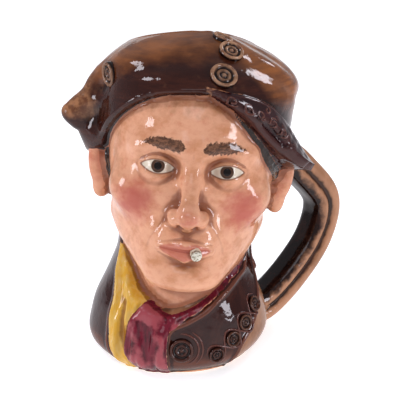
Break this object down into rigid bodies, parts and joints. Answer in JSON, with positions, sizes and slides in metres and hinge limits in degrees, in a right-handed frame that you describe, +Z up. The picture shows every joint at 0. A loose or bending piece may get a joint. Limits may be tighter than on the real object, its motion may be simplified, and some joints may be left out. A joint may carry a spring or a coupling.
{
  "type": "character jug",
  "caption": "Glazed earthenware jug in the shape of a man's head in a soft cap, open at the crown, above a coat collar and neckerchief, with a loop handle.",
  "frame": {"origin": "centre of the flat foot, on the surface the jug stands on", "axes": "+Z up, the face looks along -Y, and +X is to the right of someone who faces the jug"},
  "size_m": [0.1468, 0.1207, 0.1645],
  "materials": {
    "glazed_earthenware": "hand-painted earthenware under a clear gloss glaze"
  },
  "bodies": {
    "root": {"jug": "glazed_earthenware"}
  },
  "joints": []
}
